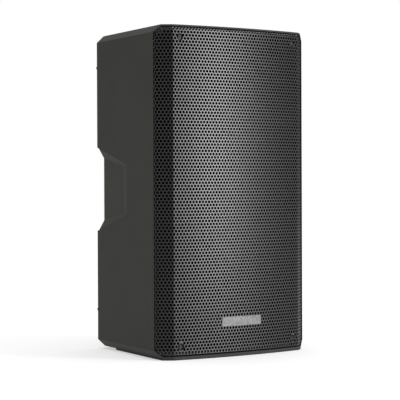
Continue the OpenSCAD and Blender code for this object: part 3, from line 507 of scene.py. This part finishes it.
def grille_half(name, points, triangles):
    """One half of the sheet, given its thickness."""
    used = sorted({i for t in triangles for i in t})
    new_index = {old: new for new, old in enumerate(used)}
    obj = put(name, [points[i] for i in used], [[new_index[i] for i in t] for t in triangles])
    solid = obj.modifiers.new("thickness", "SOLIDIFY")
    solid.thickness = SHEET_T
    solid.offset = -1.0
    apply_modifiers(obj)
    obj.data.shade_smooth()
    obj.data.set_sharp_from_angle(angle=math.radians(38))
    return finish_piece(obj, MAT["grille_paint"], "grille_paint", "grille")


def grille():
    """The perforated sheet in two halves that meet along the webs down the middle."""
    flat, triangles, right = perforated_sheet()
    past, away = past_outline(flat, BEND_LINE)
    points = [bent(p, d, n) for p, d, n in zip(flat, past, away)]
    grille_half("grille_right", points, [t for t, r in zip(triangles, right) if r])
    grille_half("grille_left", points, [t for t, r in zip(triangles, right) if not r])


grille()


# ---------------------------------------------------------------- foam behind the grille
def foam_sheet():
    """A closed curved slab whose faces are uneven like cut foam."""
    lo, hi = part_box("grille_foam")
    path = front_path(GRILLE_SET + SHEET_T + 0.6 * MM)
    thickness = 6.5 * MM
    half = along_path(path, hi.x - 4 * MM)
    z0, z1 = lo.z + 4 * MM, hi.z - 4 * MM
    columns, rows = 72, 120
    cut = 12 * MM
    grain = 0.35 * MM
    verts, faces = [], []
    for layer in (0, 1):
        for j in range(rows + 1):
            z = z0 + (z1 - z0) * j / rows
            near = min(z - z0, z1 - z)
            width = half - max(0.0, cut - near)
            for i in range(columns + 1):
                s = -width + 2 * width * i / columns
                rough = grain * noise.noise(Vector((s * 260, z * 260, layer * 9.0)))
                dent = max(0.0, dimple_depth(Vector((s, z))) - 0.3 * MM) if layer == 0 else 0.0
                verts.append(placed(path, s, z, layer * thickness + rough + grain + dent))
    layer_size = (columns + 1) * (rows + 1)
    for j in range(rows):
        for i in range(columns):
            a = j * (columns + 1) + i
            b, c, d = a + 1, a + columns + 2, a + columns + 1
            faces.append([a, b, c, d])
            faces.append([layer_size + d, layer_size + c, layer_size + b, layer_size + a])
    rim = list(range(columns + 1))
    rim += [j * (columns + 1) + columns for j in range(1, rows + 1)]
    rim += [rows * (columns + 1) + i for i in range(columns - 1, -1, -1)]
    rim += [j * (columns + 1) for j in range(rows - 1, 0, -1)]
    for k, a in enumerate(rim):
        b = rim[(k + 1) % len(rim)]
        faces.append([b, a, a + layer_size, b + layer_size])
    obj = put("foam_sheet", verts, faces, smooth=True)
    finish_piece(obj, MAT["foam"], "foam", "grille_foam")


foam_sheet()


# ---------------------------------------------------------------- cabinet moulding
# A face larger than this is a flat one, shaded flat
LARGE_FACE = 1500 * MM * MM


def moulded_shell():
    """The cabinet's own shape with rounded edges in place of the sharp ones."""
    source = NODES["cabinet_shell"].data
    bm = bmesh.new()
    bm.from_mesh(source)
    bmesh.ops.remove_doubles(bm, verts=bm.verts, dist=1e-6)
    bmesh.ops.dissolve_limit(bm, angle_limit=math.radians(0.3), verts=bm.verts, edges=bm.edges)
    bmesh.ops.connect_verts_concave(bm, faces=bm.faces)
    for offset, steps, chosen in SHELL_ROUNDING:
        edges = [e for e in bm.edges if is_outside_edge(e) and chosen(e)]
        bmesh.ops.bevel(bm, geom=edges, offset=offset, offset_type="OFFSET", segments=steps,
                        profile=0.5, affect="EDGES", clamp_overlap=True, loop_slide=True)
    planes = [plane_of(f) for f in bm.faces if f.calc_area() > LARGE_FACE]
    rounded_off = [not lies_in(f, planes) for f in bm.faces]
    mesh = bpy.data.meshes.new("cabinet_moulding")
    bm.to_mesh(mesh)
    bm.free()
    obj = bpy.data.objects.new("cabinet_moulding", mesh)
    bpy.context.scene.collection.objects.link(obj)
    mesh.set_sharp_from_angle(angle=math.radians(35))
    mesh.polygons.foreach_set("use_smooth", rounded_off)
    return finish_piece(obj, MAT["cabinet_plastic"], "cabinet_plastic", "cabinet_shell")


def plane_of(face):
    """The normal of a face, and how far along it the face lies."""
    return face.normal.copy(), face.normal.dot(face.calc_center_median())


def lies_in(face, planes):
    """True for a face that is part of one of the large flat ones."""
    normal, offset = plane_of(face)
    return any(normal.dot(n) > 0.99998 and abs(offset - d) < 0.05 * MM for n, d in planes)


def side_plane_x(y):
    """Half width of the cabinet at a depth."""
    return MAX_W / 2 - (y - CHORD_Y - BEVEL_D) * math.tan(TAPER)


def outside_surface(p):
    """True for places on the outer skin, the rim or the side recesses."""
    reach = 1 * MM
    if abs(p.z - TOP_Z) < EDGE_CUT_H + reach or abs(p.z - BASE_Z) < EDGE_CUT_H + reach:
        if p.y < REAR_Y - 6 * MM and side_plane_x(p.y) - abs(p.x) > EDGE_CUT_W + reach:
            return abs(p.z - TOP_Z) < reach or abs(p.z - BASE_Z) < reach
        return True
    if p.y > REAR_Y - reach:
        return True
    if p.y < CHORD_Y + BEVEL_D + reach and side_plane_x(p.y) - abs(p.x) < RIM_T + reach:
        return True
    return side_plane_x(p.y) - abs(p.x) < HANDLE_DEPTH and p.y > HANDLE_FRONT_Y


def is_outside_edge(e):
    """A sharp edge on the skin, long enough to be rounded."""
    if len(e.link_faces) != 2 or e.calc_length() < 4 * MM or e.calc_face_angle(0.0) < math.radians(18):
        return False
    return outside_surface((e.verts[0].co + e.verts[1].co) / 2)


def is_long_corner(e):
    """A long obtuse corner that runs from front to back."""
    along = (e.verts[1].co - e.verts[0].co).normalized()
    return e.calc_length() > 100 * MM and abs(along.y) > 0.9 and e.calc_face_angle(0.0) < math.radians(60)


def is_recess_edge(e):
    """An edge of the hand recesses in the sides."""
    middle = (e.verts[0].co + e.verts[1].co) / 2
    in_height = abs(middle.z - HANDLE_Z) < HANDLE_HALF_H
    return in_height and middle.y > HANDLE_FRONT_Y and abs(middle.x) > PANEL_HALF_W


# How far each kind of edge is rounded off, widest first
SHELL_ROUNDING = [
    (4.5 * MM, 5, is_long_corner),
    (2.2 * MM, 4, is_recess_edge),
    (1.1 * MM, 3, lambda e: True),
]

moulded_shell()


# ---------------------------------------------------------------- rear panel
DIAL_MARKS = 11
DIAL_SPAN = math.radians(300)
LONG_MARK, SHORT_MARK = 2.6 * MM, 1.7 * MM
LINE_W = 0.5 * MM
LINE_GAP = 3.2 * MM


def thin_bar(verts, faces, middle, along, length, width, lift):
    """Adds one flat raised bar that lies on the rear panel."""
    side = Vector((-along.z, 0, along.x))
    corners = [middle + along * (u * length / 2) + side * (v * width / 2) for u, v in
               ((-1, -1), (1, -1), (1, 1), (-1, 1))]
    first = len(verts)
    verts += corners
    verts += [c + Vector((0, lift, 0)) for c in corners]
    faces += [[first + 3, first + 2, first + 1, first], [first + 4, first + 5, first + 6, first + 7]]
    for k in range(4):
        m = (k + 1) % 4
        faces.append([first + k, first + m, first + m + 4, first + k + 4])


def panel_print():
    """Printed marks round the knobs, a line under each button, and one above and one below the mains row."""
    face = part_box("amp_plate")[1].y
    lift, sunk = 0.12 * MM, Vector((0, 0.02 * MM, 0))
    verts, faces = [], []
    for name in ("level_knob_1", "level_knob_2", "preset_knob"):
        lo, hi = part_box(name)
        centre = Vector(((lo.x + hi.x) / 2, face, (lo.z + hi.z) / 2)) - sunk
        reach = (hi.x - lo.x) / 2 + LINE_GAP
        for k in range(DIAL_MARKS):
            angle = DIAL_SPAN * (k / (DIAL_MARKS - 1) - 0.5)
            out = Vector((math.sin(angle), 0, math.cos(angle)))
            length = LONG_MARK if k in (0, DIAL_MARKS // 2, DIAL_MARKS - 1) else SHORT_MARK
            thin_bar(verts, faces, centre + out * reach, out, length, LINE_W, lift)
    for name in ("line_button_1", "line_button_2", "mode_button"):
        lo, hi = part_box(name)
        middle = Vector(((lo.x + hi.x) / 2, face, lo.z - LINE_GAP)) - sunk
        thin_bar(verts, faces, middle, Vector((1, 0, 0)), 9 * MM, LINE_W, lift)
    lo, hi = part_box("mains_inlet")[0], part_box("rocker_frame")[1]
    for z in (lo.z - 9 * MM, hi.z + 6 * MM):
        middle = Vector(((lo.x + hi.x) / 2, face, z)) - sunk
        thin_bar(verts, faces, middle, Vector((1, 0, 0)), hi.x - lo.x + 8 * MM, LINE_W, lift)
    finish_piece(put("panel_print", verts, faces), MAT["button_grey"], "button_grey")


def knob_pointers():
    """A light line on the face of each knob, that turns with it."""
    for name in ("level_knob_1", "level_knob_2", "preset_knob"):
        lo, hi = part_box(name)
        radius = (hi.x - lo.x) / 2
        centre = Vector(((lo.x + hi.x) / 2, hi.y - 0.1 * MM, (lo.z + hi.z) / 2))
        verts, faces = [], []
        up = Vector((0, 0, 1))
        thin_bar(verts, faces, centre + up * radius * 0.5, up, radius * 0.6, 1.0 * MM, 0.22 * MM)
        line = put(name + "_pointer", verts, faces)
        line.data.materials.append(MAT["button_grey"])
        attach(line, name)


panel_print()
knob_pointers()

# Edges of the carried-over outer pieces, softened as moulding and machining leave them, in millimetres
SOFT_EDGES = {
    "amp_plate": 0.3, "heatsink": 0.35, "mains_inlet": 0.4, "rocker_frame": 0.4, "mains_rocker": 0.4,
    "level_knob_1": 0.4, "level_knob_2": 0.4, "preset_knob": 0.4,
    "line_button_1": 0.4, "line_button_2": 0.4, "mode_button": 0.4,
    "input_jack_1": 0.3, "input_jack_2": 0.3, "link_output": 0.3, "latch_tab_1": 0.3, "latch_tab_2": 0.3,
    "rear_bumpers": 0.4, "base_pad": 0.6, "horn": 0.5, "front_baffle": 0.5,
}


def soften_edges():
    """Rounds the sharp edges of those pieces; their own points stay as they are."""
    for name, width in SOFT_EDGES.items():
        weld = NODES[name].modifiers.new("weld", "WELD")
        weld.merge_threshold = 1e-6
        soft = NODES[name].modifiers.new("soft_edges", "BEVEL")
        soft.width = width * MM
        soft.segments = 2
        soft.limit_method = "ANGLE"
        soft.angle_limit = math.radians(40)


soften_edges()


# ---------------------------------------------------------------- badge
def badge_plate():
    """A thin plate that follows the arc, with a raised border and soft edges, and no lettering."""
    lo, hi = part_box("badge")
    half_w, half_h = (hi.x - lo.x) / 2, (hi.z - lo.z) / 2
    middle_z = (hi.z + lo.z) / 2
    thickness = 1.35 * MM
    border, groove = 1.2 * MM, 0.25 * MM
    soft = 0.45 * MM

    def stops(half):
        inner = [-half, -half + soft * 0.3, -half + soft, -half + border, -half + border + 0.3 * MM]
        return inner + [0.0] + [-v for v in reversed(inner)]

    def profile(u, half):
        near = half - abs(u)
        if near < soft:
            return soft * (1 - math.sqrt(max(0.0, 1 - (1 - near / soft) ** 2)))
        return groove if near > border + 0.2 * MM else 0.0

    def on_arc(angle, reach, z):
        return Vector((math.sin(angle) * reach, ARC_CENTRE_Y - math.cos(angle) * reach, z))

    xs, zs = stops(half_w), stops(half_h)
    xs = sorted(set(xs + [half_w * (k / 10 - 1) * 0.95 for k in range(1, 20)]))
    verts, faces = [], []
    for z in zs:
        for x in xs:
            sink = max(profile(x, half_w), profile(z, half_h))
            verts.append(on_arc(x / ARC_R, ARC_R - sink, middle_z + z))
    count = len(xs)
    for j in range(len(zs) - 1):
        for i in range(count - 1):
            a = j * count + i
            faces.append([a, a + 1, a + count + 1, a + count])
    front = len(verts)
    for v in list(verts[:front]):
        verts.append(on_arc(math.asin(v.x / ARC_R), ARC_R - thickness, v.z))
    faces += [[front + i for i in reversed(f)] for f in faces[:]]
    rim = list(range(count)) + [j * count + count - 1 for j in range(1, len(zs))]
    rim += [(len(zs) - 1) * count + i for i in range(count - 2, -1, -1)]
    rim += [j * count for j in range(len(zs) - 2, 0, -1)]
    for k, a in enumerate(rim):
        b = rim[(k + 1) % len(rim)]
        faces.append([b, a, a + front, b + front])
    obj = put("badge_plate", verts, faces, smooth=True)
    obj.data.set_sharp_from_angle(angle=math.radians(50))
    return finish_piece(obj, MAT["badge_metal"], "badge_metal", "badge")


badge_plate()


# ---------------------------------------------------------------- wadding
def wadding_panels():
    """Loose fibre panels in place of the plain blocks."""
    source = NODES["wadding"].data
    bm = bmesh.new()
    bm.from_mesh(source)
    bmesh.ops.remove_doubles(bm, verts=bm.verts, dist=1e-6)
    mesh = bpy.data.meshes.new("fibre_panels")
    bm.to_mesh(mesh)
    bm.free()
    obj = bpy.data.objects.new("fibre_panels", mesh)
    bpy.context.scene.collection.objects.link(obj)
    remesh = obj.modifiers.new("even", "REMESH")
    remesh.mode = "VOXEL"
    remesh.voxel_size = 5 * MM
    apply_modifiers(obj)
    for v in obj.data.vertices:
        wave = noise.noise(v.co * 45) * 1.2 * MM + noise.noise(v.co * 160) * 0.6 * MM
        v.co -= v.normal * (1.9 * MM + wave)
    obj.data.shade_smooth()
    finish_piece(obj, MAT["wadding"], "wadding", "wadding")


wadding_panels()


# ---------------------------------------------------------------- studio
def area_light(name, place, target, width, height, power):
    """A soft rectangular light turned to a target."""
    data = bpy.data.lights.new(name, "AREA")
    data.shape = "RECTANGLE"
    data.energy = power
    data.size = width
    data.size_y = height
    obj = bpy.data.objects.new(name, data)
    bpy.context.scene.collection.objects.link(obj)
    obj.location = place
    obj.rotation_euler = (Vector(target) - Vector(place)).to_track_quat("-Z", "Y").to_euler()
    return obj


# Camera at the photographed angle: near the cabinet's mid-height, almost level, far off with a long lens
CAMERA_PLACE = Vector((-2.0130, -2.6092, 0.3283))
CAMERA_YAW = math.radians(37.91)
CAMERA_PITCH = math.radians(-0.64)
CAMERA_ROLL = math.radians(-0.22)

camera_data = bpy.data.cameras.new("camera")
camera_data.lens = 152.3
camera_data.sensor_width = 36
camera = bpy.data.objects.new("camera", camera_data)
bpy.context.scene.collection.objects.link(camera)
turn_to_view = Matrix.Rotation(-CAMERA_YAW, 4, "Z") @ Matrix.Rotation(math.pi / 2 + CAMERA_PITCH, 4, "X")
camera.matrix_world = Matrix.Translation(CAMERA_PLACE) @ turn_to_view @ Matrix.Rotation(CAMERA_ROLL, 4, "Z")
bpy.context.scene.camera = camera


# A floor that glows a little keeps the shadow under the cabinet faint
FLOOR_GLOW = 0.46


def floor():
    """A flat pale disc, wide enough to run out of every view."""
    radius, rings, sides = 9.0, 6, 64
    verts = [Vector((0, 0, 0))]
    for j in range(1, rings + 1):
        verts += [Vector((*p, 0)) for p in ring_points(Vector((0, 0)), radius * j / rings, sides)]
    faces = [[0, 1 + k, 1 + (k + 1) % sides] for k in range(sides)]
    for j in range(rings - 1):
        inner, outer = 1 + j * sides, 1 + (j + 1) * sides
        for k in range(sides):
            m = (k + 1) % sides
            faces.append([inner + k, outer + k, outer + m, inner + m])
    obj = put("floor", verts, faces)
    material = finish_surface("pale_floor", grey(0.50), grey(0.51), 0.8, 1.5, 60, 0.02 * MM, specular=0.1)
    shader = material.node_tree.nodes["Principled BSDF"]
    shader.inputs["Emission Color"].default_value = (1, 1, 1, 1)
    shader.inputs["Emission Strength"].default_value = FLOOR_GLOW
    obj.data.materials.append(material)


floor()

# One soft key to the right of the front's own axis, whose glance fades across the curved sheet
TARGET = Vector((0, -0.1, 0.32))
KEY_AZIMUTH = math.radians(29)
KEY_REACH = 3.0
KEY_PLACE = TARGET + Vector((math.sin(KEY_AZIMUTH), -math.cos(KEY_AZIMUTH), 0.06)) * KEY_REACH
area_light("key", KEY_PLACE, TARGET, 0.7, 1.1, 92)

WALL_LEVEL = 0.28
CEILING_LEVEL = 1.5


def studio_world():
    """White to the camera; as a light, a bright ceiling over dim walls."""
    world = bpy.data.worlds.new("studio")
    bpy.context.scene.world = world
    world.use_nodes = True
    tree = world.node_tree
    seen = tree.nodes["Background"]
    seen.inputs["Color"].default_value = (1, 1, 1, 1)
    seen.inputs["Strength"].default_value = 1.0
    direction = tree.nodes.new("ShaderNodeTexCoord").outputs["Generated"]
    parts = tree.nodes.new("ShaderNodeSeparateXYZ")
    tree.links.new(direction, parts.inputs["Vector"])
    ceiling = tree.nodes.new("ShaderNodeMapRange")
    ceiling.interpolation_type = "SMOOTHSTEP"
    ceiling.inputs["From Min"].default_value = 0.0
    ceiling.inputs["From Max"].default_value = 1.0
    ceiling.inputs["To Min"].default_value = WALL_LEVEL
    ceiling.inputs["To Max"].default_value = CEILING_LEVEL
    tree.links.new(parts.outputs["Z"], ceiling.inputs["Value"])
    lit = tree.nodes.new("ShaderNodeBackground")
    lit.inputs["Color"].default_value = (1, 1, 1, 1)
    tree.links.new(ceiling.outputs["Result"], lit.inputs["Strength"])
    choose = tree.nodes.new("ShaderNodeMixShader")
    tree.links.new(tree.nodes.new("ShaderNodeLightPath").outputs["Is Camera Ray"], choose.inputs["Fac"])
    tree.links.new(lit.outputs["Background"], choose.inputs[1])
    tree.links.new(seen.outputs["Background"], choose.inputs[2])
    tree.links.new(choose.outputs["Shader"], tree.nodes["World Output"].inputs["Surface"])


studio_world()
bpy.context.scene.view_settings.view_transform = "Standard"
